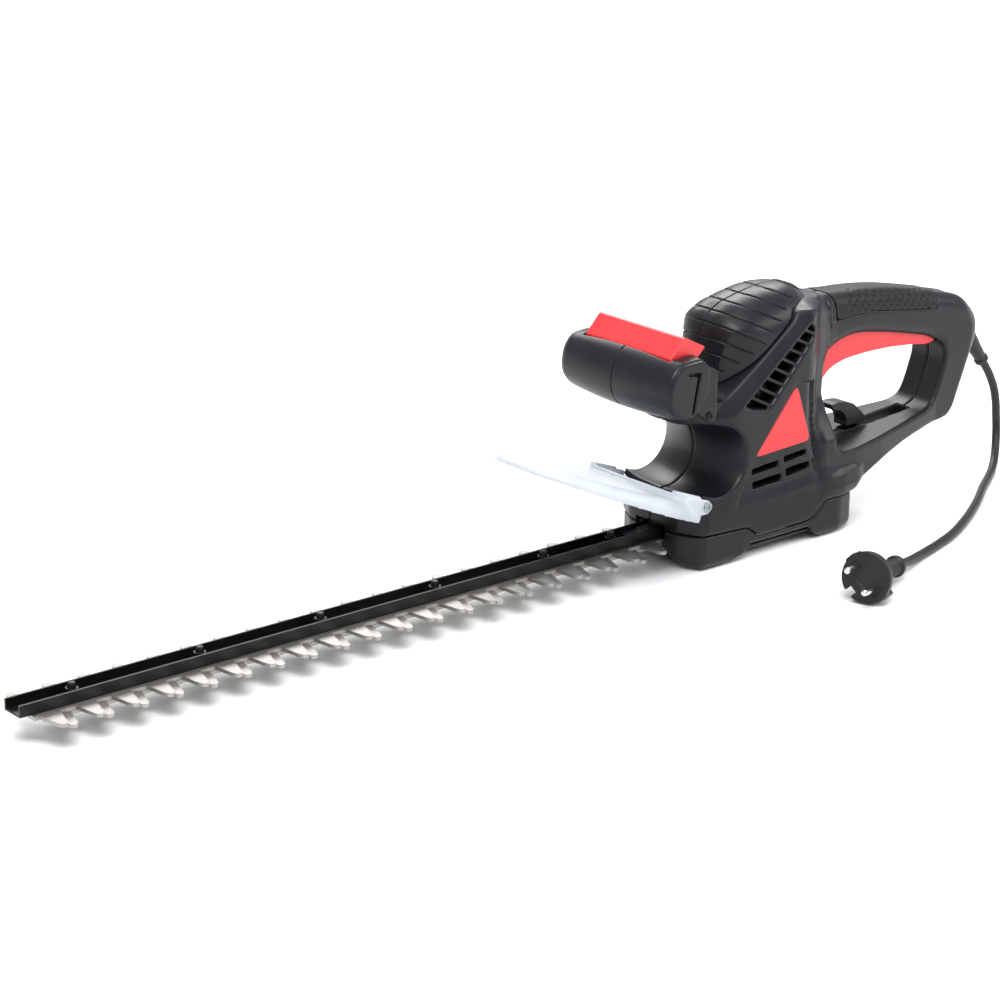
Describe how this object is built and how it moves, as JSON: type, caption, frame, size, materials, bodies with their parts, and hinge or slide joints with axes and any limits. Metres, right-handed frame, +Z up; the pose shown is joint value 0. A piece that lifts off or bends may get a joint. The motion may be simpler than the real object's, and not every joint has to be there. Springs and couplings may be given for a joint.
{
  "type": "electric hedge trimmer",
  "caption": "Corded hedge trimmer with a long double-edged cutter bar, clear hand guard, front handle with safety lever, D-shaped rear handle with trigger, and a short lead with a plug.",
  "frame": {"origin": "centre of the flat keel on the underside of the lower cover, below the motor, level with the surface the tool lies on", "axes": "+X to the rear handle, so the cutter bar points along -X; +Y to the right-hand side as the operator sees it; +Z up"},
  "size_m": [0.8947, 0.2316, 0.1855],
  "materials": {
    "housing_plastic": "fine-textured black moulded plastic",
    "soft_rubber": "soft black rubber",
    "red_plastic": "satin red moulded plastic",
    "clear_guard": "frosted clear plastic",
    "black_paint": "black gloss paint on folded steel",
    "blade_steel": "satin ground blade steel",
    "zinc_steel": "zinc-plated steel",
    "nickel": "nickel-plated brass",
    "cast_alloy": "die-cast alloy",
    "gear_steel": "oiled hardened steel",
    "lamination": "stacked electrical steel sheet",
    "copper": "enamelled copper wire",
    "carbon": "pressed carbon",
    "film_yellow": "yellow film-capacitor case",
    "ivory_plastic": "ivory insulating plastic",
    "cord_pvc": "black flexible cord sheath"
  },
  "bodies": {
    "machine": {"left_housing_half": "housing_plastic", "right_housing_half": "housing_plastic", "lower_cover": "housing_plastic", "left_motor_cover": "housing_plastic", "right_motor_cover": "housing_plastic", "left_front_handle": "housing_plastic", "right_front_handle": "housing_plastic", "soft_grip": "soft_rubber", "left_badge": "red_plastic", "right_badge": "red_plastic", "cord_hook": "housing_plastic", "hand_guard": "clear_guard", "guard_screws": "zinc_steel", "housing_screws": "zinc_steel", "cover_screws": "zinc_steel", "lever_pin": "zinc_steel", "lever_spring": "zinc_steel", "trigger_pin": "zinc_steel", "trigger_spring": "zinc_steel", "front_switch": "housing_plastic", "rear_switch": "housing_plastic", "guide_bar": "black_paint", "bar_bracket": "zinc_steel", "bar_studs": "zinc_steel", "bar_nuts": "zinc_steel", "bar_screws": "zinc_steel", "gear_plate": "cast_alloy", "gearbox_base": "zinc_steel", "gear_spacers": "zinc_steel", "gear_axle": "gear_steel", "stator_stack": "lamination", "field_coils": "copper", "lower_bearing": "zinc_steel", "upper_bearing": "zinc_steel", "brush_bracket": "housing_plastic", "carbon_brushes": "carbon", "brush_springs": "zinc_steel", "capacitor": "film_yellow", "terminal_block": "ivory_plastic", "cable_clamp": "housing_plastic", "inner_lead": "cord_pvc", "strain_relief": "cord_pvc", "mains_cord": "cord_pvc", "plug_body": "cord_pvc", "plug_boot": "cord_pvc", "plug_pins": "nickel"},
    "lever": {"front_lever": "red_plastic"},
    "trigger": {"rear_trigger": "red_plastic"},
    "gear": {"drive_gear": "gear_steel"},
    "rotor": {"pinion": "gear_steel", "motor_shaft": "gear_steel", "rotor_stack": "lamination", "rotor_windings": "copper", "commutator": "copper", "cooling_fan": "housing_plastic"},
    "upper_cutter": {"upper_blade": "blade_steel"},
    "lower_cutter": {"lower_blade": "blade_steel"}
  },
  "joints": [
    {"name": "gear_spin", "type": "hinge", "parent": "machine", "child": "gear", "pos_m": [-0.043, 0, 0.031], "axis": [0, 0, 1], "range_deg": [0, 180]},
    {"name": "rotor_spin", "type": "hinge", "parent": "machine", "child": "rotor", "pos_m": [-0.008, 0, 0.1], "axis": [0, 0, 1], "range_deg": [-1081, 1]},
    {"name": "upper_blade_slide", "type": "slide", "parent": "machine", "child": "upper_cutter", "axis": [1, 0, 0], "range_m": [-0.01302, 0.00002]},
    {"name": "lower_blade_slide", "type": "slide", "parent": "machine", "child": "lower_cutter", "axis": [1, 0, 0], "range_m": [-0.00002, 0.01302]},
    {"name": "lever_press", "type": "hinge", "parent": "machine", "child": "lever", "pos_m": [-0.0995, 0, 0.155], "axis": [0, -1, 0], "range_deg": [0, 6], "stiffness_Nm_per_rad": 1, "springref_deg": -5.73, "deforming": ["lever_spring"]},
    {"name": "trigger_press", "type": "hinge", "parent": "machine", "child": "trigger", "pos_m": [0.184, 0, 0.121], "axis": [0, 1, 0], "range_deg": [0, 3], "stiffness_Nm_per_rad": 2, "springref_deg": -5.73, "deforming": ["trigger_spring"]}
  ],
  "couplings": [
    {"joint": "rotor_spin", "follows": "gear_spin", "ratio": -6},
    {"joint": "upper_blade_slide", "follows": "gear_spin", "m_per_rad": -0.004138},
    {"joint": "lower_blade_slide", "follows": "gear_spin", "m_per_rad": 0.004138}
  ]
}
